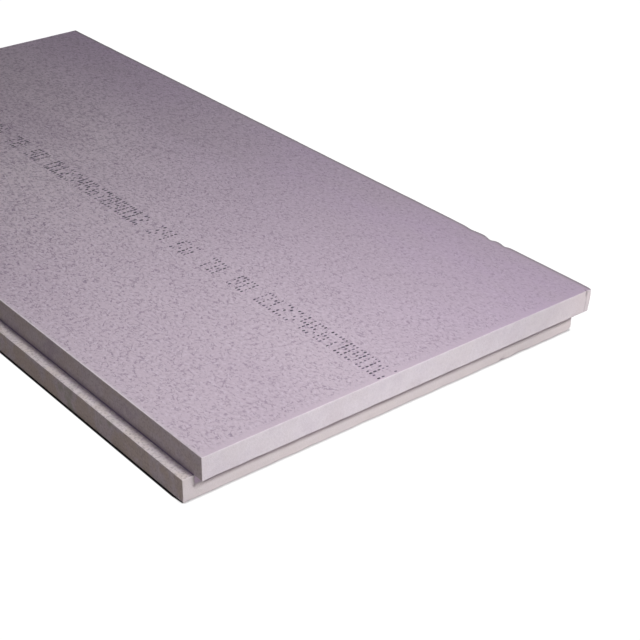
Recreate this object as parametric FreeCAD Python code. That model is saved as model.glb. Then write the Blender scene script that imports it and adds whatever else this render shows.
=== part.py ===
import FreeCAD, Part
import os

from FreeCAD import Vector

# Extruded polystyrene foam insulation board, rebated for a shiplap joint on all four sides.
# Millimetres. The origin is the middle of the overall outline, at the underside.
# +X runs across the board, +Y along it and +Z up.
# The upper half reaches past the lower half at the front (-Y) and at the right (+X).
# The lower half reaches past the upper half at the back (+Y) and at the left (-X), as a ledge.

# Driving sizes
overall_length = 1250.0       # along Y, laps included
overall_width = 600.0         # along X, laps included
thickness = 60.0              # skin to skin
lap_reach = 15.0              # how far each half runs past the other
lap_play = 0.5                # height left free where two boards lap
arris_radius = 1.0            # outer edges of the skins and of both laps
cutter_corner_radius = 1.5    # inner corner that the milling cutter leaves in each rebate
cutter_overrun = 20.0         # how far the cutter starts and stops clear of the board

# Sizes that follow from them
half_length = overall_length / 2
half_width = overall_width / 2
lap_thickness = (thickness - lap_play) / 2
rebate_depth = thickness - lap_thickness

across = Vector(1, 0, 0)
along = Vector(0, 1, 0)
up = Vector(0, 0, 1)


# The sawn blank: the overall outline, drawn at the underside and raised to the thickness.
def sawn_blank():
    corners = [
        Vector(-half_width, -half_length, 0),
        Vector(half_width, -half_length, 0),
        Vector(half_width, half_length, 0),
        Vector(-half_width, half_length, 0),
    ]
    outline = Part.makePolygon(corners + corners[:1])
    return Part.Face(outline).extrude(up * thickness)


# The path of the milling cutter along one side of the blank. Its section is drawn from the
# blank's edge: inward as far as the lap reaches, and through the skin as deep as the rebate,
# with the cutter's rounded tip where wall and ledge meet.
def milled_rebate(edge_start, inward, through, run, run_length):
    def at(distance_in, depth):
        return edge_start + inward * distance_in + through * depth

    wall_end = at(lap_reach, rebate_depth - cutter_corner_radius)
    ledge_end = at(lap_reach - cutter_corner_radius, rebate_depth)
    diagonal = cutter_corner_radius * (1 - 0.5 ** 0.5)
    tip_middle = at(lap_reach - diagonal, rebate_depth - diagonal)
    outside_ledge = at(-cutter_overrun, rebate_depth)
    outside_corner = at(-cutter_overrun, -cutter_overrun)
    wall_start = at(lap_reach, -cutter_overrun)

    section = Part.Wire([
        Part.makeLine(wall_start, wall_end),
        Part.Arc(wall_end, tip_middle, ledge_end).toShape(),
        Part.makeLine(ledge_end, outside_ledge),
        Part.makeLine(outside_ledge, outside_corner),
        Part.makeLine(outside_corner, wall_start),
    ])
    section.translate(run * -cutter_overrun)
    return Part.Face(section).extrude(run * (run_length + 2 * cutter_overrun))


# Left and back lose their upper half, front and right their lower half.
def shiplap_rebates():
    left_edge = Vector(-half_width, -half_length, thickness)
    back_edge = Vector(-half_width, half_length, thickness)
    right_edge = Vector(half_width, -half_length, 0)
    front_edge = Vector(-half_width, -half_length, 0)
    return [
        milled_rebate(left_edge, across, -up, along, overall_length),
        milled_rebate(back_edge, -along, -up, across, overall_width),
        milled_rebate(right_edge, -across, up, along, overall_length),
        milled_rebate(front_edge, along, up, across, overall_width),
    ]


# The level outer edges that get the small round: the rim of each skin and the free edge of
# each lap. The upright corners stay square, as the saw leaves them.
def outer_arrises(board):
    ledge_level = lap_thickness
    overhang_level = rebate_depth
    near = 1e-3

    def runs_level_at(edge, height):
        return all(abs(vertex.Z - height) < near for vertex in edge.Vertexes)

    def on_left_or_back(edge):
        middle = edge.CenterOfMass
        return abs(middle.x + half_width) < near or abs(middle.y - half_length) < near

    def on_right_or_front(edge):
        middle = edge.CenterOfMass
        return abs(middle.x - half_width) < near or abs(middle.y + half_length) < near

    chosen = []
    for edge in board.Edges:
        if runs_level_at(edge, 0) or runs_level_at(edge, thickness):
            chosen.append(edge)
        elif runs_level_at(edge, ledge_level) and on_left_or_back(edge):
            chosen.append(edge)
        elif runs_level_at(edge, overhang_level) and on_right_or_front(edge):
            chosen.append(edge)
    return chosen


def insulation_board():
    board = sawn_blank()
    for rebate in shiplap_rebates():
        board = board.cut(rebate)
    return board.makeFillet(arris_radius, outer_arrises(board)).Solids[0]


os.makedirs("parts", exist_ok=True)
board = insulation_board()
board.exportStep("parts/insulation_board.step")
print("insulation_board", board.ShapeType, "valid", board.isValid(), "volume_mm3", round(board.Volume))
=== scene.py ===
# Rigid foam insulation board, mauve skin and milled shiplap edges, lying flat in a studio.
import math
import bpy
import numpy as np
from mathutils import Matrix, Vector


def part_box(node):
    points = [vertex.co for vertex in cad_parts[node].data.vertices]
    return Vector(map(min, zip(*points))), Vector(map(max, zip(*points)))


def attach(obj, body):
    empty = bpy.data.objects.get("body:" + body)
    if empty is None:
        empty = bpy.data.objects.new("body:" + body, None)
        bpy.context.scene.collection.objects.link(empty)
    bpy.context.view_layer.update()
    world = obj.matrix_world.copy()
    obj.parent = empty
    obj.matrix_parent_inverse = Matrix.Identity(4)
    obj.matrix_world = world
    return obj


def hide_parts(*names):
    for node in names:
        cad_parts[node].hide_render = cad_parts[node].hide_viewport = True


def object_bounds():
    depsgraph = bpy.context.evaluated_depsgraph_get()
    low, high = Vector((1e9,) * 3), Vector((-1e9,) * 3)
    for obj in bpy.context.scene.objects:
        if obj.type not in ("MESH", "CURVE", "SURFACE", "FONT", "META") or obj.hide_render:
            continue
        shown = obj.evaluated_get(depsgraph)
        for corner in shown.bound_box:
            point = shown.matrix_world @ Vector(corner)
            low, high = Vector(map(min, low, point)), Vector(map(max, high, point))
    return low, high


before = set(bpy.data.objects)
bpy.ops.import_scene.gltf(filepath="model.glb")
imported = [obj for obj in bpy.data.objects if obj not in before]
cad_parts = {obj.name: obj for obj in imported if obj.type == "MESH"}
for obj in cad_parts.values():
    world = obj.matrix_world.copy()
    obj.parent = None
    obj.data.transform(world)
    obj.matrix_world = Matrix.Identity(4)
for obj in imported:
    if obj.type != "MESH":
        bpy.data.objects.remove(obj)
cadLow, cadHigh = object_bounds()
print("stage 1: frame loaded")

notZero = 1e-9               # metres, the least length that anything is divided by
sameLine = 1e-7              # metres, points closer than this lie on one line
slack = 1e-6                 # what rounding may add to a distance or a share


# Linear colour from the values a colour picker shows, 0 to 255.
def pickerColour(red, green, blue):
    parts = []
    for value in (red, green, blue):
        share = value / 255
        parts.append(share / 12.92 if share <= 0.04045 else ((share + 0.055) / 1.055) ** 2.4)
    return (*parts, 1.0)


# Soft step: 0 at or below the start, 1 at or past the end, 3t^2 - 2t^3 between.
def softStep(values, start, end):
    share = np.clip((values - start) / (end - start), 0.0, 1.0)
    return share * share * (3.0 - 2.0 * share)


# Gentle unevenness between -1 and 1: the sum of several plane waves over the root of twice their
# number, cut off at both ends. Their headings and phases are seeded draws, their lengths near the
# one asked for.
def ripple(points, wavelength, seed, waves=9):
    draw = np.random.default_rng(seed)
    headings = draw.normal(size=(waves, points.shape[1]))
    headings /= np.linalg.norm(headings, axis=1, keepdims=True)
    lengths = wavelength * draw.uniform(0.6, 1.7, waves)
    phases = draw.uniform(0.0, 2.0 * np.pi, waves)
    angles = points @ (headings * (2.0 * np.pi / lengths)[:, None]).T + phases
    return np.clip(np.sin(angles).sum(axis=1) / math.sqrt(waves * 2.0), -1.0, 1.0)


# A mesh object from arrays of corners and of quads or triangles.
def meshObject(name, points, faces, materials, faceMaterial=None):
    mesh = bpy.data.meshes.new(name)
    mesh.from_pydata(points.tolist(), [], faces.tolist())
    for material in materials:
        mesh.materials.append(material)
    if faceMaterial is not None:
        mesh.polygons.foreach_set("material_index", faceMaterial.astype(np.int32))
    mesh.polygons.foreach_set("use_smooth", np.ones(len(mesh.polygons), dtype=bool))
    mesh.update()
    piece = bpy.data.objects.new(name, mesh)
    bpy.context.scene.collection.objects.link(piece)
    return piece


# One shader node: its settings, then its sockets. A socket takes a value or another node's output.
def addNode(material, kind, sockets=None, **settings):
    tree = material.node_tree
    made = tree.nodes.new(kind)
    for key, value in settings.items():
        setattr(made, key, value)
    for key, value in (sockets or {}).items():
        if isinstance(value, bpy.types.NodeSocket):
            tree.links.new(value, made.inputs[key])
        else:
            made.inputs[key].default_value = value
    return made


def newMaterial(name):
    material = bpy.data.materials.new(name)
    material.use_nodes = True
    material.node_tree.nodes.clear()
    return material


# One math node on two values.
def calc(material, operation, first, second=0.0):
    return addNode(material, "ShaderNodeMath", {0: first, 1: second}, operation=operation).outputs[0]


# The product of all the factors.
def times(material, first, *others):
    for other in others:
        first = calc(material, "MULTIPLY", first, other)
    return first


# Soft step from low to high, while the value goes from start to end.
def fade(material, value, start, end, low=0.0, high=1.0):
    sockets = {"Value": value, "From Min": start, "From Max": end, "To Min": low, "To Max": high}
    made = addNode(material, "ShaderNodeMapRange", sockets, interpolation_type="SMOOTHSTEP")
    return made.outputs["Result"]


def blendColour(material, share, first, second):
    made = addNode(material, "ShaderNodeMix", {"Factor": share, 6: first, 7: second}, data_type="RGBA")
    return made.outputs[2]


# Colours laid over the first one in turn, each by its own share.
def layColours(material, tone, layers):
    for share, colour in layers:
        tone = blendColour(material, share, tone, colour)
    return tone


# Fractal noise from 0 to 1, with about as many waves to the metre as its scale says.
def noise(material, where, scale, detail=2.0, roughness=0.5, distortion=0.0):
    sockets = {"Vector": where, "Scale": scale, "Detail": detail,
               "Roughness": roughness, "Distortion": distortion}
    return addNode(material, "ShaderNodeTexNoise", sockets).outputs["Fac"]


# Coordinates scaled along each axis and then moved.
def stretched(material, where, scale, location=(0.0, 0.0, 0.0)):
    made = addNode(material, "ShaderNodeMapping", {"Vector": where, "Scale": scale, "Location": location})
    return made.outputs["Vector"]


def objectPlace(material):
    return addNode(material, "ShaderNodeTexCoord").outputs["Object"]


# The X, Y and Z of a vector.
def vectorParts(material, vector):
    made = addNode(material, "ShaderNodeSeparateXYZ", {0: vector})
    return [made.outputs[axis] for axis in "XYZ"]


# A value that the mesh stores at its points.
def storedValue(material, name):
    return addNode(material, "ShaderNodeAttribute", attribute_name=name).outputs["Fac"]


# The end of each material: a principled surface, with a bump where there is one.
def makeSurface(material, tone, roughness, specular, bump=None):
    sockets = {"Base Color": tone, "Roughness": roughness, "Specular IOR Level": specular}
    if bump is not None:
        sockets["Normal"] = bump.outputs["Normal"]
    shader = addNode(material, "ShaderNodeBsdfPrincipled", sockets)
    addNode(material, "ShaderNodeOutputMaterial", {"Surface": shader.outputs[0]})
    return material


skinFinish = {
    "leftColour": pickerColour(197, 182, 195),
    "rightColour": pickerColour(192, 172, 197),
    "farLeftColour": pickerColour(214, 201, 210),
    "cloudColour": pickerColour(190, 174, 189),
    "foldColour": pickerColour(130, 114, 135),
    "fleckColour": pickerColour(158, 143, 161),
    "lightColour": pickerColour(211, 199, 213),
    # painted highlight beside the left edge and along the rims
    "edgeHighlightColour": pickerColour(206, 196, 201),       # beside the sawn left edge and along the rims
    # painted highlight, a thin line
    "highlightLineColour": pickerColour(232, 226, 230),     # the thin line on the left edge
    # painted shade, on the right edge and on its last few millimetres
    "edgeShadeColour": pickerColour(170, 160, 165),   # the right edge, and its last few millimetres
    "edgeDeepShadeColour": pickerColour(98, 90, 96),
    # painted shade in the hollows of the marks
    "markShadeColour": pickerColour(92, 84, 90),
    "foldSpacing": 0.0074,       # metres between neighbouring folds
    "foldWidth": 0.070,          # share of the noise range that a fold takes
    "foldShare": 0.62,           # how strongly each of these covers the skin
    "fleckShare": 0.54,
    "lightShare": 0.54,
    "farFleckShare": 0.55,
    "fineShare": 0.25,
    "cloudShare": 0.80,
    "farLeftShare": 0.90,
    "edgeHighlightShare": 0.45,
    "rimHighlightShare": 0.25,
    "edgeShadeShare": 0.50,
    "edgeDeepShadeShare": 0.55,
    "rightCalm": 0.62,           # what is left of folds and flecks at the right
    "fleckSize": 0.0046,         # metres
    "farFleckSize": 0.0064,
    "foldStretch": (1.35, 0.80, 1.0),        # over 1 is finer, under 1 is longer
    "fleckStretch": (1.35, 0.75, 1.0),
    "cloudStretch": (9.0, 3.0, 9.0),
    "fineScale": 600.0,
    "reliefDepth": 0.00030,      # metres of bump
    "roughness": 0.62,
    "specular": 0.08,
}


# Mauve skin of the board: thin worm-like folds where one noise crosses its middle value, broken into
# short runs by a second noise, over small dark and light flecks and slow clouds. All run a little
# more along the board than across it. Folds and flecks are calmer towards the right, end just before
# the front and right edges, and grow stronger towards the far end.
def makeSkin(finish):
    material = newMaterial("mauve_foam_skin")
    where = objectPlace(material)
    across, along, _ = vectorParts(material, where)
    rim = storedValue(material, "rimDistance")
    # Painted shade in the hollows of the marks, stored at the points.
    markShade = storedValue(material, "markShade")

    def flecks(size, shift):
        place = stretched(material, where, finish["fleckStretch"], shift)
        return noise(material, place, 1.0 / size, 1.5, 0.55)

    calm = times(material,
                 fade(material, across, -0.05, 0.30, 1.0, finish["rightCalm"]),
                 fade(material, along, -0.623, -0.609),
                 fade(material, across, 0.285, 0.299, 1.0, 0.0),
                 fade(material, along, -0.60, 0.10, 0.85, 1.30))

    pitch = 1.0 / finish["foldSpacing"]
    course = noise(material, stretched(material, where, finish["foldStretch"]), pitch, 1.5, 0.5, 0.5)
    offMiddle = calc(material, "ABSOLUTE", calc(material, "SUBTRACT", course, 0.5))
    line = fade(material, offMiddle, 0.0, finish["foldWidth"], 1.0, 0.0)
    breakUp = noise(material, stretched(material, where, (1, 1, 1), (3.1, 1.7, 0.4)), pitch * 1.6, 1.0)
    folds = times(material, line, fade(material, breakUp, 0.47, 0.60), calm)

    fleck = flecks(finish["fleckSize"], (7.7, 2.3, 0.0))
    dark = times(material, fade(material, fleck, 0.52, 0.70), calm)
    light = times(material, fade(material, fleck, 0.30, 0.47, 1.0, 0.0), calm)
    farFleck = flecks(finish["farFleckSize"], (1.9, 8.3, 0.0))
    farShare = fade(material, along, -0.40, 0.20, 0.0, finish["farFleckShare"])
    fine = noise(material, where, finish["fineScale"], 2.0, 0.6)
    clouds = noise(material, stretched(material, where, finish["cloudStretch"]), 1.0, 3.0)
    farLeft = times(material,
                    fade(material, along, -0.25, 0.30, 0.0, finish["farLeftShare"]),
                    fade(material, across, 0.0, 0.30, 1.0, 0.0))
    # Painted highlight: a thin bright line along the left edge.
    highlightLine = times(material,
                       fade(material, across, -0.2842, -0.2828, 1.0, 0.0),
                       fade(material, along, -0.60, -0.50, 0.1, 0.6))

    sideways = fade(material, across, -0.08, 0.30)
    tone = blendColour(material, sideways, finish["leftColour"], finish["rightColour"])
    tone = layColours(material, tone, [
        (farLeft, finish["farLeftColour"]),
        (fade(material, clouds, 0.35, 0.75, 0.0, finish["cloudShare"]), finish["cloudColour"]),
        (times(material, light, finish["lightShare"]), finish["lightColour"]),
        (times(material, dark, finish["fleckShare"]), finish["fleckColour"]),
        (times(material, fade(material, farFleck, 0.50, 0.66), farShare), finish["fleckColour"]),
        (fade(material, fine, 0.30, 0.45, finish["fineShare"], 0.0), finish["fleckColour"]),
        (times(material, folds, finish["foldShare"]), finish["foldColour"]),
        # Painted highlight: towards the left edge the skin pales, with a bright line that dies out near the
        # corner, and it pales a little along every rim.
        (fade(material, across, -0.285, -0.278, finish["edgeHighlightShare"], 0.0), finish["edgeHighlightColour"]),
        (highlightLine, finish["highlightLineColour"]),
        (fade(material, rim, 0.0, 0.0014, finish["rimHighlightShare"], 0.0), finish["edgeHighlightColour"]),
        # Painted shade: the right edge, turned from the light, grays within a few millimetres and then
        # darkens.
        (fade(material, across, 0.2915, 0.2970, 0.0, finish["edgeShadeShare"]), finish["edgeShadeColour"]),
        (fade(material, across, 0.2955, 0.2992, 0.0, finish["edgeDeepShadeShare"]), finish["edgeDeepShadeColour"]),
        # Painted shade in the hollows of the marks.
        (markShade, finish["markShadeColour"]),
    ])

    height = calc(material, "ADD", times(material, folds, -1.0), times(material, fleck, -0.8))
    height = calc(material, "ADD", height, times(material, fine, 0.2))
    bump = addNode(material, "ShaderNodeBump",
                   {"Height": height, "Strength": 1.0, "Distance": finish["reliefDepth"]})
    roughness = fade(material, fine, 0.3, 0.7, finish["roughness"] - 0.05, finish["roughness"] + 0.07)
    return makeSurface(material, tone, roughness, finish["specular"], bump)


milledFinish = {
    "colour": pickerColour(193, 186, 192),
    "shade": pickerColour(182, 173, 181),
    "warmColour": pickerColour(182, 171, 162),
    "coolLowerColour": pickerColour(158, 160, 148),      # cool tone of the lower and the upper half
    "coolUpperColour": pickerColour(174, 164, 178),
    # painted light, on the faces that look up and on the right end of the front faces
    "paintedLightColour": pickerColour(226, 214, 214),
    "speckColour": pickerColour(140, 129, 135),
    "paleColour": pickerColour(213, 206, 210),
    # painted shade, a reddish tint for the walls that face left
    "leftColour": pickerColour(188, 163, 160),
    # painted highlight along the arrises
    "rimHighlightColour": pickerColour(222, 215, 220),
    # violet blotches, partly painted shade near the ledge's inner corner
    "blotchAndShadeColour": pickerColour(168, 149, 174),
    # painted shade towards the inner corners, darkest in the crease
    "lapShadeColour": pickerColour(146, 130, 146),
    "creaseShadeColour": pickerColour(84, 68, 122),
    # painted shade on the lower front face, in the rebate
    "rebateShadeColour": pickerColour(190, 182, 182),
    # painted light at the open left end of the front rebate
    "nookLightColour": pickerColour(214, 196, 218),
    # painted shade under the overhang and on the faces that look down
    "underShadeColour": pickerColour(108, 92, 100),
    # painted shade along the foot
    "footShadeColour": pickerColour(128, 120, 120),
    # painted shadow along the foot of the walls that face left
    "leftFootShadowColour": pickerColour(24, 21, 23),
    # painted shade in the hollows of the marks
    "markShadeColour": pickerColour(92, 84, 90),
    "shadeShare": 0.65,          # how strongly each of these covers the foam
    "coolShare": 0.90,
    "upwardLightShare": 0.55,
    "speckShare": 0.62,
    "paleShare": 0.55,
    "leftShadeShare": 0.24,
    "markShare": 0.35,
    "rimHighlightShare": 0.20,
    "blotchShadeShare": 0.50,
    "lapShadeShare": 0.55,
    "creaseShadeShare": 0.75,
    "rebateShadeShare": 0.70,
    "rightLightShare": 0.42,
    "nookLightShare": 0.80,
    "coveredShadeShare": 0.58,
    "downShadeShare": 0.90,
    "footShadeShare": 0.50,
    "leftFootShadowShare": 0.97,
    "frontCalm": 0.18,           # what is left of grain and warm tones on the front faces
    "lapLevels": (0.028, 0.032),             # heights between which the lower half gives way to the upper
    "nookEnd": (-0.281, -0.268),             # x where the open left end of the front rebate stops
    # painted light makes the front faces paler over this span of x
    "rightLightSpan": (0.20, 0.30),   # x over which the front faces turn paler
    "cellSize": 0.0011,          # metres, the open cells that the cutter leaves
    "grainScale": 330.0,
    "cloudScale": 34.0,
    "warmthScale": 24.0,
    "blotchScale": 170.0,
    "markStretch": (16.0, 16.0, 700.0),      # cutter marks: long and level, and close above each other
    "reliefDepth": 0.0005,       # metres of bump
    "roughness": 0.85,
    "specular": 0.1,
}


# Milled foam: opened cells as grain, level marks of the cutter drawn out along the run, slow changes
# between gray, cooler and warmer tones, a reddish painted shade on the walls that face left, painted
# light on faces that look up and on the right end of the front faces, painted highlights along the
# arrises, violet blotches that are partly painted shade near the ledge's inner corner, painted shade
# that deepens towards the inner corners, painted shade on the front rebate that is deepest under the
# overhang with painted light at its open left end, painted shade on faces that look down and in the
# hollows of the marks, and painted shade along the foot, with a nearly black painted shadow along the
# left.
def makeMilled(finish):
    material = newMaterial("milled_foam_edge")
    where = objectPlace(material)
    placeX, _, placeZ = vectorParts(material, where)
    normal = addNode(material, "ShaderNodeNewGeometry").outputs["Normal"]
    facingX, facingY, facingZ = vectorParts(material, normal)
    rim = storedValue(material, "rimDistance")
    inner = storedValue(material, "creaseDistance")
    # Painted shade in the hollows of the marks, stored at the points.
    markShade = storedValue(material, "markShade")

    cells = addNode(material, "ShaderNodeTexVoronoi", {"Vector": where, "Scale": 1.0 / finish["cellSize"]},
                    feature="F1").outputs["Distance"]
    marks = noise(material, stretched(material, where, finish["markStretch"]), 1.0, 3.0, 0.6)
    clouds = noise(material, where, finish["cloudScale"], 4.0, 0.6)
    warmthPlace = stretched(material, where, (1, 1, 1), (5.2, 0.7, 1.3))
    warmth = noise(material, warmthPlace, finish["warmthScale"], 3.0, 0.6)
    grain = noise(material, where, finish["grainScale"], 3.0, 0.65)
    blotchPlace = stretched(material, where, (1, 1, 1), (2.7, 6.1, 0.3))
    patches = noise(material, blotchPlace, finish["blotchScale"], 3.0, 0.6)

    ahead = fade(material, facingY, -0.9, -0.2, 1.0, 0.0)      # 1 on the front faces
    rough = fade(material, facingY, -0.9, -0.2, finish["frontCalm"], 1.0)
    upper = fade(material, placeZ, *finish["lapLevels"])
    below = times(material, ahead, fade(material, placeZ, 0.0296, 0.0302, 1.0, 0.0))

    warm = times(material, fade(material, warmth, 0.46, 0.60), rough,
                 fade(material, placeZ, *finish["lapLevels"], 1.0, 0.45))
    cool = times(material, fade(material, warmth, 0.36, 0.46, finish["coolShare"], 0.0), rough)
    coolColour = blendColour(material, upper, finish["coolLowerColour"], finish["coolUpperColour"])
    specks = times(material, fade(material, grain, 0.48, 0.68, 0.0, finish["speckShare"]), rough)
    flecks = times(material, fade(material, grain, 0.28, 0.46, finish["paleShare"], 0.0), rough)
    # Violet blotches, partly painted shade, fading out away from the ledge's inner corner.
    blotches = times(material, fade(material, patches, 0.44, 0.58),
                     fade(material, inner, 0.002, 0.012, finish["blotchShadeShare"], 0.0),
                     fade(material, facingZ, 0.3, 0.9))
    # Painted light that makes the front faces paler towards their right end.
    rightward = fade(material, placeX, *finish["rightLightSpan"], 0.0, finish["rightLightShare"])
    rightEndLight = times(material, rightward, ahead)
    # Painted light at the open left end of the front rebate.
    nookLight = times(material, fade(material, inner, 0.0095, 0.0135, finish["nookLightShare"], 0.0), below,
                 fade(material, placeX, *finish["nookEnd"], 1.0, 0.0))
    # Painted shade in the front rebate, deepest where the overhang covers it.
    coveredShade = times(material, fade(material, inner, 0.0112, 0.0195, finish["coveredShadeShare"], 0.0), below,
                    fade(material, placeX, *finish["nookEnd"]))
    # Painted shade along the foot, and a nearly black painted shadow along the foot of the walls that face
    # left.
    foot = fade(material, placeZ, 0.0004, 0.0019, 1.0, 0.0)
    leftFootShadow = times(material, foot, fade(material, facingX, -0.5, -0.1, finish["leftFootShadowShare"], 0.0))

    shaded = fade(material, clouds, 0.35, 0.70, 0.0, finish["shadeShare"])
    tone = blendColour(material, shaded, finish["colour"], finish["shade"])
    tone = layColours(material, tone, [
        (warm, finish["warmColour"]),
        (cool, coolColour),
        # Painted light on the faces that look up.
        (fade(material, facingZ, 0.3, 0.9, 0.0, finish["upwardLightShare"]), finish["paintedLightColour"]),
        (specks, finish["speckColour"]),
        (flecks, finish["paleColour"]),
        # Painted shade: a reddish tint on the walls that face left.
        (fade(material, facingX, -0.9, -0.3, finish["leftShadeShare"], 0.0), finish["leftColour"]),
        (fade(material, marks, 0.50, 0.80, 0.0, finish["markShare"]), finish["shade"]),
        # Painted highlight along the arrises.
        (fade(material, rim, 0.0, 0.0012, finish["rimHighlightShare"], 0.0), finish["rimHighlightColour"]),
        # Violet blotches, partly painted shade near the inner corner.
        (blotches, finish["blotchAndShadeColour"]),
        # Painted shade that deepens towards the inner corners, darkest in the crease.
        (fade(material, inner, 0.0, 0.0085, finish["lapShadeShare"], 0.0), finish["lapShadeColour"]),
        (fade(material, inner, 0.0, 0.0015, finish["creaseShadeShare"], 0.0), finish["creaseShadeColour"]),
        # Painted shade on the front rebate, deepest where the overhang covers it, painted light on the
        # right end of the front faces and at the rebate's open left end, and painted shade on every face
        # that looks down.
        (times(material, below, finish["rebateShadeShare"]), finish["rebateShadeColour"]),
        (rightEndLight, finish["paintedLightColour"]),
        (nookLight, finish["nookLightColour"]),
        (coveredShade, finish["underShadeColour"]),
        (fade(material, facingZ, -0.8, -0.1, finish["downShadeShare"], 0.0), finish["underShadeColour"]),
        # Painted shade along the foot of the lower half, where it meets the ground, and a nearly black
        # painted shadow along the foot of the walls that face left.
        (times(material, foot, finish["footShadeShare"]), finish["footShadeColour"]),
        (leftFootShadow, finish["leftFootShadowColour"]),
        # Painted shade in the hollows of the marks.
        (markShade, finish["markShadeColour"]),
    ])

    height = calc(material, "ADD", times(material, cells, 0.5), grain)
    height = calc(material, "ADD", height, times(material, marks, 0.6))
    bump = addNode(material, "ShaderNodeBump",
                   {"Height": height, "Strength": 0.5, "Distance": finish["reliefDepth"]})
    return makeSurface(material, tone, finish["roughness"], finish["specular"], bump)


inkFinish = {
    "colour": pickerColour(34, 25, 42),
    "thinColour": pickerColour(104, 92, 114),
    "thinScale": 260.0,
    "thinShare": 0.90,           # how much of the thin colour shows where the ink is thinnest
    "roughness": 0.55,
    "specular": 0.3,
}


# Dark print: nearly black violet, thinner in places by a fine noise.
def makeInk(finish):
    material = newMaterial("dot_print")
    patches = noise(material, objectPlace(material), finish["thinScale"])
    thin = fade(material, patches, 0.42, 0.64, 0.0, finish["thinShare"])
    tone = blendColour(material, thin, finish["colour"], finish["thinColour"])
    return makeSurface(material, tone, finish["roughness"], finish["specular"])


# Shape of the foam board, in metres.
boardForm = {
    "lapReach": 0.015,           # how far each half runs past the other
    "ledgeLevel": 0.02975,       # top of the lower half
    "overhangLevel": 0.03025,    # underside of the upper half
    "arrisRadius": (0.0006, 0.0006, 0.0009),   # across, along and up, so upright corners stay crisper
    "arrisWear": 0.45,           # share by which the small rounds grow and shrink along an edge
    "wearLength": 0.03,          # length of those changes
    "creaseRadius": 0.0015,
    "creaseFade": 0.004,         # run over which a round or crease dies out
    "skinGive": 0.00012,         # how far the top skin lies inside the nominal thickness
    "skinWave": 0.00016,         # depth and length of the slow waves of both skins
    "skinWaveLength": 0.16,
    "skinWaveReach": 0.006,      # how far down the edges the waves die out
    "meshStep": 0.010,           # level and upright distance between the lines of the mesh
    "meshStepUp": 0.0035,
    "edgeLines": (0.2, 0.45, 0.75, 1.1, 1.7, 2.6, 4.4, 7.0),      # millimetres from each edge
    "levelLines": 6,             # how many of these stand beside each level, for the heights
    "cornerLines": 12,           # lines a millimetre apart beside the knocked corner
    "dentLines": (-0.486, -0.396, 0.003),      # first and last y and step of the lines at the dents
    "nickLines": (0.157, 0.209, 0.002),        # the same in x, at the nicks
}


# Lines of the mesh along one axis: an even run in each span between breaks, and close lines
# beside every break for the rounds and creases.
def gridLines(breaks, step, beside, extra=()):
    lines = [np.array(breaks), np.array(extra, dtype=float)]
    margin = beside[-1]
    for low, high in zip(breaks[:-1], breaks[1:]):
        if high - low > 2.0 * margin:
            count = max(1, round((high - low - 2.0 * margin) / step))
            lines += [low + beside, high - beside, np.linspace(low + margin, high - margin, count + 1)]
    return np.unique(np.round(np.concatenate(lines), 6))


# Outer rounds: each point near an edge moves onto the ellipsoid round the nearest point of the box
# shrunk by the three radii. Flat faces stay where they are.
def roundBox(points, low, high, radius):
    core = np.clip(points, low + radius, high - radius)
    away = (points - core) / radius
    length = np.linalg.norm(away, axis=1, keepdims=True)
    return np.where(length > notZero, core + radius * away / np.maximum(length, notZero), points)


# Inner crease: out is the distance out from the wall and off the distance off the ledge. Points with
# both under the radius move to the circle of that radius round (radius, radius).
def roundCrease(points, low, high, corner, level, sense, radius, share):
    flat = points[:, :2]
    core = np.clip(flat, low[:2] + corner, high[:2] - corner)
    away = flat - core
    span = np.maximum(np.linalg.norm(away, axis=1), notZero)
    out = span - corner[:, 0]
    off = (points[:, 2] - level) * sense
    near = (out < radius) & (out > -slack) & (off < radius) & (off > -slack)
    reach = np.maximum(np.hypot(out - radius, off - radius), notZero)
    moveOut = (radius + radius * (out - radius) / reach - out) * near * share
    moveOff = (radius + radius * (off - radius) / reach - off) * near * share
    moved = points.copy()
    moved[:, :2] += away / span[:, None] * moveOut[:, None]
    moved[:, 2] += sense * moveOff
    return moved


# Height of the top skin over a place on it: the nominal height, less a fixed give and less a slow
# wave that runs between nothing and its full depth.
def topSkin(x, y):
    wave = 0.5 + 0.5 * ripple(np.stack([x, y], axis=1), boardForm["skinWaveLength"], seed=21)
    return cadHigh.z - boardForm["skinGive"] - boardForm["skinWave"] * wave


# Where the faces lie on the flat sheet that their colours are drawn on, in shares of the sheet.
boardSheet = {
    "skins": ((0.004, 0.604), (0.612, 0.772)),      # spans of the upper and the lower skin
    "strips": 0.780,             # where the columns of narrow faces begin
    "margin": 0.004,
    "gap": 0.005,
    "perMetreAlong": 0.793,      # share of the sheet that a metre of a narrow face takes
    "perMetreAcross": 0.64,
}


# The corner and size of each face on the sheet, and whether its run is its second span. Skins lie side
# by side; narrow faces stand upright in columns, longest first, a new column when one is full.
def sheetPlaces(faces, sheet):
    places = [None] * len(faces)
    strips = []
    for number, (_, _, side, spanA, spanB, isSkin) in enumerate(faces):
        sizes = (spanA[1] - spanA[0], spanB[1] - spanB[0])
        if isSkin:
            start, end = sheet["skins"][0 if side > 0 else 1]
            tall = 1.0 - 2.0 * sheet["margin"]
            places[number] = (start, sheet["margin"], end - start, tall, True)
        else:
            order = (round(max(sizes), 1), round(min(sizes), 4), number)
            strips.append((*order, max(sizes), sizes[1] >= sizes[0]))
    column, used, widest = sheet["strips"], sheet["margin"], 0.0
    for _, width, number, length, upright in sorted(strips, reverse=True):
        tall, wide = length * sheet["perMetreAlong"], width * sheet["perMetreAcross"]
        if used + tall > 1.0 - sheet["margin"] + slack:
            column += widest + sheet["gap"]
            used, widest = sheet["margin"], 0.0
        places[number] = (column, used, wide, tall, upright)
        used += tall + sheet["gap"]
        widest = max(widest, wide)
    return places


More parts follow.
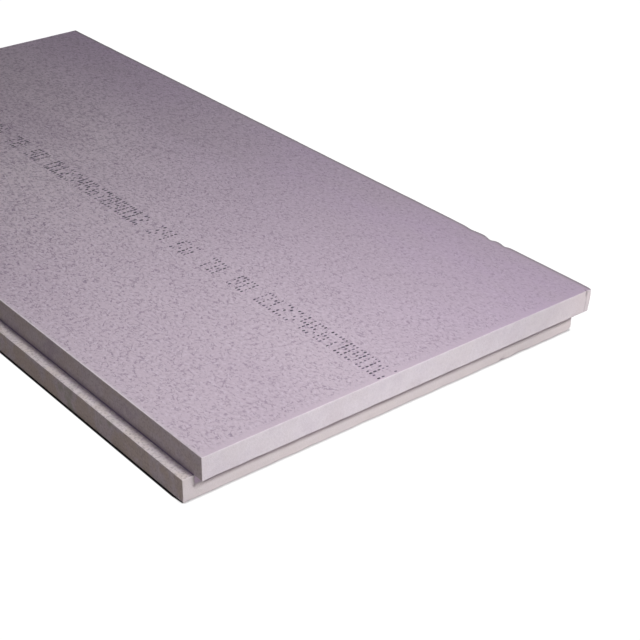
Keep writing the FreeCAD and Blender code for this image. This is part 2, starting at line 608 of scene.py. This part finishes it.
# Points of one face on the sheet, as shares of its two spans within its place there.
def laidOnSheet(gridA, gridB, spanA, spanB, sheetPlace):
    u, v, wide, tall, upright = sheetPlace
    shareA = (gridA.ravel() - spanA[0]) / (spanA[1] - spanA[0])
    shareB = (gridB.ravel() - spanB[0]) / (spanB[1] - spanB[0])
    acrossIt, alongIt = (shareA, shareB) if upright else (shareB, shareA)
    return np.stack([u + wide * acrossIt, v + tall * alongIt], axis=1)


# The values that lie within a span, its ends included.
def within(values, span):
    return values[(values > span[0] - sameLine) & (values < span[1] + sameLine)]


# The foam board. Each face is a grid of the mesh's lines along its two axes, at its place on the
# third. Points that faces share are joined, and then moved from the sharp block to the real shape.
def makeBoard(form, skin, milled):
    low, high = (np.array(corner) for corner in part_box("insulation_board"))
    reach, ledge, hang = form["lapReach"], form["ledgeLevel"], form["overhangLevel"]
    left, right, front, back = low[0] + reach, high[0] - reach, low[1] + reach, high[1] - reach
    bottom, top = low[2], high[2]

    beside = np.array(form["edgeLines"]) * 0.001
    knock = np.arange(1.0, form["cornerLines"] + 1.0) * 0.001
    xLines = gridLines([low[0], left, right, high[0]], form["meshStep"], beside,
                       np.concatenate([high[0] - knock, np.arange(*form["nickLines"])]))
    yLines = gridLines([low[1], front, back, high[1]], form["meshStep"], beside,
                       np.concatenate([low[1] + knock, np.arange(*form["dentLines"])]))
    zLines = gridLines([bottom, ledge, hang, top], form["meshStepUp"], beside[:form["levelLines"]])
    lines = (xLines, yLines, zLines)

    # Each face: the axis it faces, its place there and side, its spans on the other two, skin or not.
    faces = [
        (2, top, 1, (left, high[0]), (low[1], back), True),
        (2, bottom, -1, (low[0], right), (front, high[1]), True),
        (2, hang, -1, (left, high[0]), (low[1], front), False),
        (2, hang, -1, (right, high[0]), (front, back), False),
        (2, ledge, 1, (low[0], left), (front, high[1]), False),
        (2, ledge, 1, (left, right), (back, high[1]), False),
        (0, left, -1, (low[1], front), (hang, top), False),
        (0, left, -1, (front, back), (ledge, top), False),
        (0, high[0], 1, (low[1], back), (hang, top), False),
        (0, low[0], -1, (front, high[1]), (bottom, ledge), False),
        (0, right, 1, (front, back), (bottom, hang), False),
        (0, right, 1, (back, high[1]), (bottom, ledge), False),
        (1, low[1], -1, (left, high[0]), (hang, top), False),
        (1, back, 1, (left, right), (ledge, top), False),
        (1, back, 1, (right, high[0]), (hang, top), False),
        (1, front, -1, (left, right), (bottom, hang), False),
        (1, front, -1, (low[0], left), (bottom, ledge), False),
        (1, high[1], 1, (low[0], right), (bottom, ledge), False),
    ]

    points, quads, kinds, onSheet = [], [], [], []
    start = 0
    for face, sheetPlace in zip(faces, sheetPlaces(faces, boardSheet)):
        axis, place, side, spanA, spanB, isSkin = face
        axisA, axisB = [other for other in (0, 1, 2) if other != axis]
        linesA, linesB = within(lines[axisA], spanA), within(lines[axisB], spanB)
        gridA, gridB = np.meshgrid(linesA, linesB, indexing="ij")
        patch = np.empty((gridA.size, 3))
        patch[:, axis], patch[:, axisA], patch[:, axisB] = place, gridA.ravel(), gridB.ravel()
        index = np.arange(gridA.size).reshape(gridA.shape) + start
        loop = np.stack([index[:-1, :-1], index[1:, :-1], index[1:, 1:], index[:-1, 1:]], axis=-1)
        turn = (axis == 1) != (side < 0)      # x cross z points to -y, so that axis is turned round
        loop = loop.reshape(-1, 4)
        onSheet.append(laidOnSheet(gridA, gridB, spanA, spanB, sheetPlace))
        points.append(patch)
        quads.append(loop[:, ::-1] if turn else loop)
        kinds.append(np.full(len(loop), 0 if isSkin else 1))      # number of the face's material
        start += len(patch)
    points, quads, kinds = np.concatenate(points), np.concatenate(quads), np.concatenate(kinds)
    onSheet = np.concatenate(onSheet)[quads.ravel()]

    corners, joined = np.unique(np.round(points, 6), axis=0, return_inverse=True)
    quads = joined.reshape(-1)[quads]

    shaped, rim, inner, markShade = shapeBoard(form, corners, low, high, (left, right, front, back))
    piece = meshObject("foam_board", shaped, quads, [skin, milled], kinds)
    for name, values in (("rimDistance", rim), ("creaseDistance", inner), ("markShade", markShade)):
        attribute = piece.data.attributes.new(name, "FLOAT", "POINT")
        attribute.data.foreach_set("value", values.astype(np.float32))
    piece.data.uv_layers.new(name="OFBake").data.foreach_set("uv", onSheet.astype(np.float32).ravel())
    return piece


# From the sharp two-step block to the real one: rounds, creases, slow waves of the skins, and the
# knocks. Gives the moved points, each point's distance to the nearest outer edge and inner corner,
# and the painted shade of its marks.
def shapeBoard(form, corners, low, high, steps):
    left, right, front, back = steps
    ledge, hang, top = form["ledgeLevel"], form["overhangLevel"], high[2]
    soft, far = form["creaseFade"], 10.0
    x, y, z = corners.T
    uneven = 1.0 + form["arrisWear"] * ripple(corners, form["wearLength"], seed=5)
    wear = np.array(form["arrisRadius"]) * uneven[:, None]

    upperLow, upperHigh = np.array([left, low[1], hang]), np.array([high[0], back, top])
    lowerLow, lowerHigh = np.array([low[0], front, low[2]]), np.array([right, high[1], ledge])
    endless = np.array([0.0, 0.0, far])

    onUpperWall = (np.abs(x - left) < sameLine) | (np.abs(y - back) < sameLine)
    onLowerWall = (np.abs(x - right) < sameLine) | (np.abs(y - front) < sameLine)
    onUpper = (z > hang - sameLine) | ((z > ledge - sameLine) & onUpperWall)
    onLower = (z < ledge + sameLine) | ((z < hang + sameLine) & onLowerWall)
    overhanging = softStep(np.maximum(front - y, x - right), 0.0, soft)[:, None]
    ledged = softStep(np.maximum(left - x, y - back), 0.0, soft)[:, None]

    moves = np.zeros_like(corners)
    for mask, share, boxLow, boxHigh, openLow, openHigh in (
            (onUpper, overhanging, upperLow, upperHigh, upperLow - endless, upperHigh),
            (onLower, ledged, lowerLow, lowerHigh, lowerLow, lowerHigh + endless)):
        closed = roundBox(corners, boxLow, boxHigh, wear) - corners
        opened = roundBox(corners, openLow, openHigh, wear) - corners
        moves += mask[:, None] * (share * closed + (1.0 - share) * opened)
    shaped = corners + moves

    leftBack = softStep(y, front, front + soft) * softStep(-x, -right, -right + soft)
    rightFront = softStep(x, left, left + soft) * softStep(-y, -back, -back + soft)
    crease = form["creaseRadius"]
    plan = wear[:, :1]
    shaped = roundCrease(shaped, upperLow, upperHigh, plan, ledge, 1.0, crease, leftBack)
    shaped = roundCrease(shaped, lowerLow, lowerHigh, plan, hang, -1.0, crease, rightFront)

    # Slow waves of the two skins, dying out down the edges.
    lift = topSkin(shaped[:, 0], shaped[:, 1]) - top
    shaped[:, 2] += lift * softStep(z, top - form["skinWaveReach"], top)
    under = form["skinWave"] * (0.5 + 0.5 * ripple(shaped[:, :2], form["skinWaveLength"], seed=22))
    shaped[:, 2] += under * softStep(-z, -form["skinWaveReach"], 0.0)

    shaped, markShade = pressMarks(boardMarks, shaped, low, high, right, front)

    # Distance to the outer edges: rim of the upper half, rim of the lower half.
    def toEdges(boxLow, boxHigh):
        gaps = np.sort(np.minimum(np.abs(corners - boxLow), np.abs(corners - boxHigh)), axis=1)
        return np.hypot(gaps[:, 0], gaps[:, 1])

    rim = np.where(onUpper, toEdges(upperLow, upperHigh), toEdges(lowerLow, lowerHigh))
    rim = np.where(onUpper & onLower, 0.02, rim)

    # Distance to the inner corners: along the ledge and up its wall, along the overhang and down its
    # wall.
    outLedge = np.maximum(np.maximum(left - x, y - back), 0.0)
    besideLedge = (x < left + sameLine) | (y > back - sameLine)
    besideLedge &= (y > front + sameLine) & (x < right - sameLine)
    overLedge = np.where(besideLedge, np.hypot(outLedge, z - ledge), far)
    outHang = np.maximum(np.maximum(x - right, front - y), 0.0)
    besideHang = (x > right - sameLine) | (y < front + sameLine)
    besideHang &= (x > left + sameLine) & (y < back - sameLine)
    underHang = np.where(besideHang, np.hypot(outHang, z - hang), far)
    inner = np.minimum(overLedge, underHang)
    return shaped, np.minimum(rim, 0.05), np.minimum(inner, 0.05), markShade


# Marks of handling, all pressed into the board.
boardMarks = {
    "cornerRound": (0.0062, 0.0020),   # radius in plan of the knocked corner, at its foot and its top
    "cornerReach": 0.0040,       # how far from it and how deep it is pressed down
    "cornerDrop": 0.0007,
    "cleftPlace": 0.2916,        # x of the cleft beside that corner
    "cleftWidth": 0.0011,
    "cleftRun": 0.0035,
    "cleftDepth": 0.0026,
    "seamLean": 0.0022,          # how far the seam below the cleft leans to the left
    "seamRun": 0.0020,
    "dentReach": 0.006,          # how far from the right edge the dents die out
    "dents": [                   # y, half length and depth of each
        (-0.474, 0.006, 0.0012),
        (-0.448, 0.007, 0.0016),
        (-0.412, 0.010, 0.0008),
    ],
    # The darkness of each nick is painted shade in its hollow.
    "nicks": [                   # x, half length, depth and darkness of each in the bottom front edge
        (0.165, 0.0035, 0.0006, 0.85),
        (0.193, 0.0090, 0.0004, 0.15),
    ],
    "frontReach": 0.004,         # how far from the front wall the nicks die out
    "edgeWobble": 0.0010,        # depth and length of the unevenness of the bottom front edge
    "wobbleLength": 0.045,
    "footLift": 0.0034,          # the foot of the lower half's right front corner, knocked up and in
    "footReach": 0.0042,
}


# Bell curve: 1 at the middle, falling to about a third at one width from it.
def bell(values, middle, width):
    return np.exp(-((values - middle) / width) ** 2)


# The marks of handling. The knocked corner turns its square plan round, by the larger of the two
# distances from the round's middle over their diagonal, and is pressed down by a bell curve. The
# cleft, the seam that leans away below it, the dents and the nicks are bell curves along their
# edge that die out away from it; the seam is only painted shade, and the cleft, the dents and the
# nicks carry painted shade in their hollows. The bottom front edge is pressed in by a gentle ripple,
# and the foot at its right end is lifted by a bell curve. Gives the moved points and the painted
# shade of each.
def pressMarks(marks, points, low, high, right, front):
    moved = points.copy()
    x, y, z = moved.T
    top = high[2]

    foot, head = marks["cornerRound"]
    upper = z > 0.5 * top
    radius = foot + (head - foot) * softStep(z, 0.5 * top, 0.85 * top)
    fromX = x - (high[0] - radius)
    fromY = (low[1] + radius) - y
    inside = upper & (fromX > 0.0) & (fromY > 0.0)
    share = np.maximum(fromX, fromY) / np.maximum(np.hypot(fromX, fromY), notZero)
    x[inside] += (fromX * (share - 1.0))[inside]
    y[inside] -= (fromY * (share - 1.0))[inside]

    away = np.hypot(x - high[0], y - low[1])
    rough = 1.0 + 0.35 * ripple(moved, 0.006, seed=31)
    pressed = bell(away, 0.0, marks["cornerReach"]) * softStep(z, 0.75 * top, top) * rough
    z -= marks["cornerDrop"] * pressed

    cleft = bell(x, marks["cleftPlace"], marks["cleftWidth"]) * bell(y, low[1], marks["cleftRun"])
    cleft *= softStep(z, 0.80 * top, 0.93 * top)
    seamPlace = marks["cleftPlace"] - marks["seamLean"] * softStep(-z, -0.85 * top, -0.5 * top)
    seam = bell(x, seamPlace, 0.8 * marks["cleftWidth"]) * bell(y, low[1], marks["seamRun"]) * upper
    y += marks["cleftDepth"] * cleft
    z -= 0.3 * marks["cleftDepth"] * cleft

    dented = np.zeros(len(points))
    for middle, width, depth in marks["dents"]:
        dent = bell(y, middle, width) * bell(x, high[0], marks["dentReach"])
        dent *= softStep(z, 0.80 * top, top)
        x -= 0.8 * depth * dent
        z -= depth * dent
        dented = np.maximum(dented, dent)

    lowFront = bell(y, front, marks["frontReach"]) * softStep(-z, -0.008, 0.0)
    footLine = bell(y, front, marks["frontReach"]) * softStep(-z, -0.0036, -0.0010)
    wobble = 0.5 + 0.5 * ripple(points[:, :1], marks["wobbleLength"], seed=37)
    press = marks["edgeWobble"] * wobble * lowFront
    chipped = np.zeros(len(points))
    for middle, width, depth, darkness in marks["nicks"]:
        nick = bell(x, middle, width)
        press += depth * nick * lowFront
        chipped = np.maximum(chipped, darkness * nick * footLine)
    y += press

    footAway = np.hypot(x - right, y - front)
    z += marks["footLift"] * bell(footAway, 0.0, marks["footReach"]) * softStep(-z, -0.012, 0.0)
    # Painted shade in the hollows of the cleft, the dents and the nicks, and along the seam.
    dark = np.maximum(0.80 * cleft, 0.28 * seam) + 0.25 * dented + chipped
    return moved, np.clip(dark, 0.0, 0.9)


# Plain counting digits, printed as rows of dots along the board.
printLine = {
    "digits": {
        "0": "### #.# #.# #.# ###",
        "1": ".#. ##. .#. .#. ###",
        "2": "##. ..# .#. #.. ###",
        "3": "##. ..# .#. ..# ##.",
        "4": "#.# #.# ### ..# ..#",
        "5": "### #.. ##. ..# ##.",
        "6": ".## #.. ### #.# ###",
        "7": "### ..# .#. .#. .#.",
        "8": "### #.# ### #.# ###",
        "9": "### #.# ### ..# ##.",
    },
    "groups": [                  # what is printed, and the y where it begins
        ("0123456789012", -0.388),
        ("34", -0.150),
        ("56", -0.206),
        ("78", -0.269),
        ("90", -0.331),
    ],
    "repeat": 0.510,             # the same run of groups comes again along the board
    "repeats": 3,
    "firstRow": -0.0175,         # x of the top row of dots
    "rowPitch": 0.00610,
    "columnPitch": 0.00560,
    "digitPitch": 0.0194,
    "dotAcross": 0.00222,        # half sizes of a dot
    "dotAlong": 0.00136,
    "dotSpread": (0.70, 1.15),   # smallest and largest dot, as a share of that
    "dotJitter": 0.00012,
    "dotSides": 10,
    "farGain": 0.30,             # share by which the dots are larger away from the front
    "farSpan": (-0.35, 0.0),     # y over which they grow
    "endGap": 0.0024,            # least distance of a dot from either end of the skin
    "inkHeight": 0.00006,
    "innerRing": 0.72,           # radius and height of a dot's inner ring, as shares of the whole
    "innerRise": 0.85,
}


# Ink dots: each is a closed low lens with a point on top, two rings and a point below. Its points are
# the dot's place plus half its size times the ring's radius, at the height of the skin there plus the
# ring's rise.
def makePrint(line, ink):
    places = []
    for turn in range(line["repeats"]):
        for text, begin in line["groups"]:
            for number, digit in enumerate(text):
                rows = line["digits"][digit].split()
                edge = begin + turn * line["repeat"] - number * line["digitPitch"]
                for row, dots in enumerate(rows):
                    x = line["firstRow"] - row * line["rowPitch"]
                    places += [(x, edge - column * line["columnPitch"])
                               for column, dot in enumerate(dots) if dot == "#"]
    places = np.array(places)
    draw = np.random.default_rng(8)
    places += draw.normal(0.0, line["dotJitter"], places.shape)
    firstY = cadLow.y + line["endGap"]
    lastY = cadHigh.y - boardForm["lapReach"] - line["endGap"]
    places = places[(places[:, 1] > firstY) & (places[:, 1] < lastY)]
    count = len(places)
    halfSize = np.array([[line["dotAcross"], line["dotAlong"]]])
    size = draw.uniform(*line["dotSpread"], (count, 1)) * halfSize
    size *= 1.0 + line["farGain"] * softStep(places[:, 1:], *line["farSpan"])

    sides = line["dotSides"]
    angles = np.arange(sides) * (2.0 * np.pi / sides)
    ring = np.stack([np.cos(angles), np.sin(angles)], axis=1)
    flat = np.concatenate([[[0.0, 0.0]], ring * line["innerRing"], ring, [[0.0, 0.0]]])
    rise = np.concatenate([[1.0], np.full(sides, line["innerRise"]), np.zeros(sides), [-1.0]])
    rise *= line["inkHeight"]

    xy = places[:, None, :] + size[:, None, :] * flat[None, :, :]
    z = topSkin(xy[..., 0].ravel(), xy[..., 1].ravel()).reshape(count, -1) + rise[None, :]
    points = np.concatenate([xy, z[..., None]], axis=2).reshape(-1, 3)

    step = np.arange(sides)
    following = (step + 1) % sides
    cap = np.stack([np.zeros(sides, int), 1 + step, 1 + following], axis=1)
    wallA = np.stack([1 + step, 1 + sides + step, 1 + sides + following], axis=1)
    wallB = np.stack([1 + step, 1 + sides + following, 1 + following], axis=1)
    base = np.stack([np.full(sides, 2 * sides + 1), 1 + sides + following, 1 + sides + step], axis=1)
    one = np.concatenate([cap, wallA, wallB, base])
    faces = (one[None, :, :] + (np.arange(count) * (2 * sides + 2))[:, None, None]).reshape(-1, 3)
    return meshObject("dot_digits", points, faces, [ink])


skin, milled, ink = makeSkin(skinFinish), makeMilled(milledFinish), makeInk(inkFinish)
board = makeBoard(boardForm, skin, milled)
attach(board, "root")
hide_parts("insulation_board")
print("stage 2: board made,", len(board.data.polygons), "quads")

digits = makePrint(printLine, ink)
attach(digits, "root")
print("stage 3: digits printed,", len(digits.data.polygons), "triangles")


# Light and floor of the studio.
studio = {
    "floorSize": 14.0,
    "floorBounce": (0.50, 0.455, 0.465, 1.0),        # what the board's sides see of the floor
    "floorGlow": 1.06,           # what the camera sees of it
    "ambient": 0.104,            # what the board sees of the white sky
    "key": {                     # from above the front, for the top skin and the front walls
        "place": (0.02, -2.225, 1.66),
        "aim": (-0.089, -0.424, 0.06),
        "size": (0.55, 0.50),
        "spread": 48.3,          # degrees, so that the light dies away towards the far end
        "power": 5.0,
    },
    "fill": {                    # low from the right, for the front walls
        "place": (1.15, -1.98, 0.42),
        "aim": (0.36, -0.60, 0.03),
        "size": (0.60, 0.30),
        "spread": 90.0,
        "power": 1.32,
    },
    "left": {                    # weak, for the walls and the ledge on the left
        "place": (-1.35, -1.25, 0.42),
        "aim": (-0.30, -0.55, 0.03),
        "size": (0.50, 0.40),
        "spread": 85.0,
        "power": 0.38,
    },
    "back": {                    # low, so that it reaches the hidden walls and hardly the top
        "place": (1.55, 1.50, 0.16),
        "aim": (0.30, 0.25, 0.03),
        "size": (0.70, 0.16),
        "spread": 110.0,
        "power": 2.8,
    },
    "contactRange": 0.005,       # width of the soft gray line round the foot of the board
    "contactShare": 0.80,
    "openShare": 0.03,           # share of plain gray in the floor away from the board
    "contactColour": (0.45, 0.44, 0.45, 1.0),
    "shadowColour": (0.03, 0.028, 0.03, 1.0),
    "shadowWidth": 0.0019,
    "shadowWidening": 0.10,      # how fast the hard shadow widens from the near corner
}


# 1 for the rays that show something to the camera, straight, mirrored or through glass.
def seenRays(material):
    rays = addNode(material, "ShaderNodeLightPath")
    seen = calc(material, "MAXIMUM", rays.outputs["Is Camera Ray"], rays.outputs["Is Glossy Ray"])
    return calc(material, "MAXIMUM", seen, rays.outputs["Is Transmission Ray"])


# White floor: the camera sees plain white, with the narrow hard shadow of the left side, which widens
# from the near corner to its full width, and a soft gray line where the board touches it. Other rays
# meet a gray floor, so that the sides of the board stay calm.
def makeFloor(setup):
    low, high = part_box("insulation_board")
    material = newMaterial("studio_floor")
    seen = seenRays(material)
    openness = addNode(material, "ShaderNodeAmbientOcclusion",
                       {"Distance": setup["contactRange"]}, samples=8).outputs["AO"]
    touching = fade(material, openness, 0.55, 0.85, setup["contactShare"], setup["openShare"])

    placeX, placeY, _ = vectorParts(material, objectPlace(material))
    outward = calc(material, "SUBTRACT", low[0], placeX)
    fromCorner = calc(material, "SUBTRACT", placeY, low[1] + boardForm["lapReach"])
    pastBack = calc(material, "SUBTRACT", placeY, high[1])
    widening = times(material, fromCorner, setup["shadowWidening"])
    width = calc(material, "MINIMUM", widening, setup["shadowWidth"])
    shadow = times(material,
                   fade(material, calc(material, "SUBTRACT", outward, width), -0.0003, 0.0007, 1.0, 0.0),
                   fade(material, outward, -0.004, -0.002),
                   fade(material, fromCorner, 0.0, 0.003),
                   fade(material, pastBack, -0.004, 0.0, 1.0, 0.0))
    touching = calc(material, "MAXIMUM", touching, shadow)
    ground = blendColour(material, shadow, setup["contactColour"], setup["shadowColour"])
    lit = addNode(material, "ShaderNodeBsdfDiffuse", {"Color": ground})
    white = addNode(material, "ShaderNodeEmission", {"Color": (1, 1, 1, 1), "Strength": setup["floorGlow"]})
    shown = addNode(material, "ShaderNodeMixShader", {0: touching, 1: white.outputs[0], 2: lit.outputs[0]})
    bounce = addNode(material, "ShaderNodeBsdfDiffuse", {"Color": setup["floorBounce"]})
    both = addNode(material, "ShaderNodeMixShader", {0: seen, 1: bounce.outputs[0], 2: shown.outputs[0]})
    addNode(material, "ShaderNodeOutputMaterial", {"Surface": both.outputs[0]})
    half = setup["floorSize"] / 2.0
    corners = np.array([[-half, -half, 0.0], [half, -half, 0.0], [half, half, 0.0], [-half, half, 0.0]])
    floor = meshObject("studio_floor", corners, np.array([[0, 1, 2, 3]]), [material])


# White sky, at full strength for the camera and dim for the board.
def makeWorld(setup):
    world = bpy.data.worlds.new("studio_world")
    bpy.context.scene.world = world
    world.use_nodes = True
    world.node_tree.nodes.clear()
    strength = addNode(world, "ShaderNodeMapRange",
                       {"Value": seenRays(world), "To Min": setup["ambient"], "To Max": 1.0})
    sky = addNode(world, "ShaderNodeBackground",
                  {"Color": (1, 1, 1, 1), "Strength": strength.outputs[0]})
    addNode(world, "ShaderNodeOutputWorld", {"Surface": sky.outputs[0]})


# A soft rectangular lamp, turned from its place towards its aim.
def makeLamp(name, setup):
    data = bpy.data.lights.new(name, "AREA")
    data.shape = "RECTANGLE"
    data.size, data.size_y = setup["size"]
    data.energy = setup["power"]
    data.spread = math.radians(setup["spread"])
    lamp = bpy.data.objects.new(name, data)
    place = Vector(setup["place"])
    heading = (Vector(setup["aim"]) - place).to_track_quat("-Z", "Y")
    lamp.matrix_world = Matrix.Translation(place) @ heading.to_matrix().to_4x4()
    bpy.context.scene.collection.objects.link(lamp)


camera = {
    "place": (-0.99426, -1.70421, 0.95487),
    "turn": 38.705,              # degrees from +Y towards +X
    "fall": 29.654,              # degrees below the horizon
    "roll": 0.116,
    "lens": 85.63,               # millimetres, as the sensor
    "sensor": 36.0,
}


# Camera axes: forward from turn and fall, right level with the floor, both then turned by the roll.
def makeCamera(setup):
    turn, fall, roll = (math.radians(setup[key]) for key in ("turn", "fall", "roll"))
    forward = Vector((math.sin(turn) * math.cos(fall), math.cos(turn) * math.cos(fall), -math.sin(fall)))
    level = Vector((math.cos(turn), -math.sin(turn), 0.0))
    up = level.cross(forward)
    side = math.cos(roll) * level + math.sin(roll) * up
    rise = -math.sin(roll) * level + math.cos(roll) * up
    data = bpy.data.cameras.new("product_camera")
    data.lens = setup["lens"]
    data.sensor_width = setup["sensor"]
    data.clip_end = 50.0
    eye = bpy.data.objects.new("product_camera", data)
    turned = Matrix((side, rise, -forward)).transposed().to_4x4()
    eye.matrix_world = Matrix.Translation(Vector(setup["place"])) @ turned
    bpy.context.scene.collection.objects.link(eye)
    bpy.context.scene.camera = eye


makeFloor(studio)
makeWorld(studio)
makeLamp("soft_key", studio["key"])
makeLamp("soft_fill", studio["fill"])
makeLamp("left_fill", studio["left"])
makeLamp("back_fill", studio["back"])
makeCamera(camera)
bpy.context.scene.view_settings.view_transform = "Standard"
print("stage 4: studio ready")
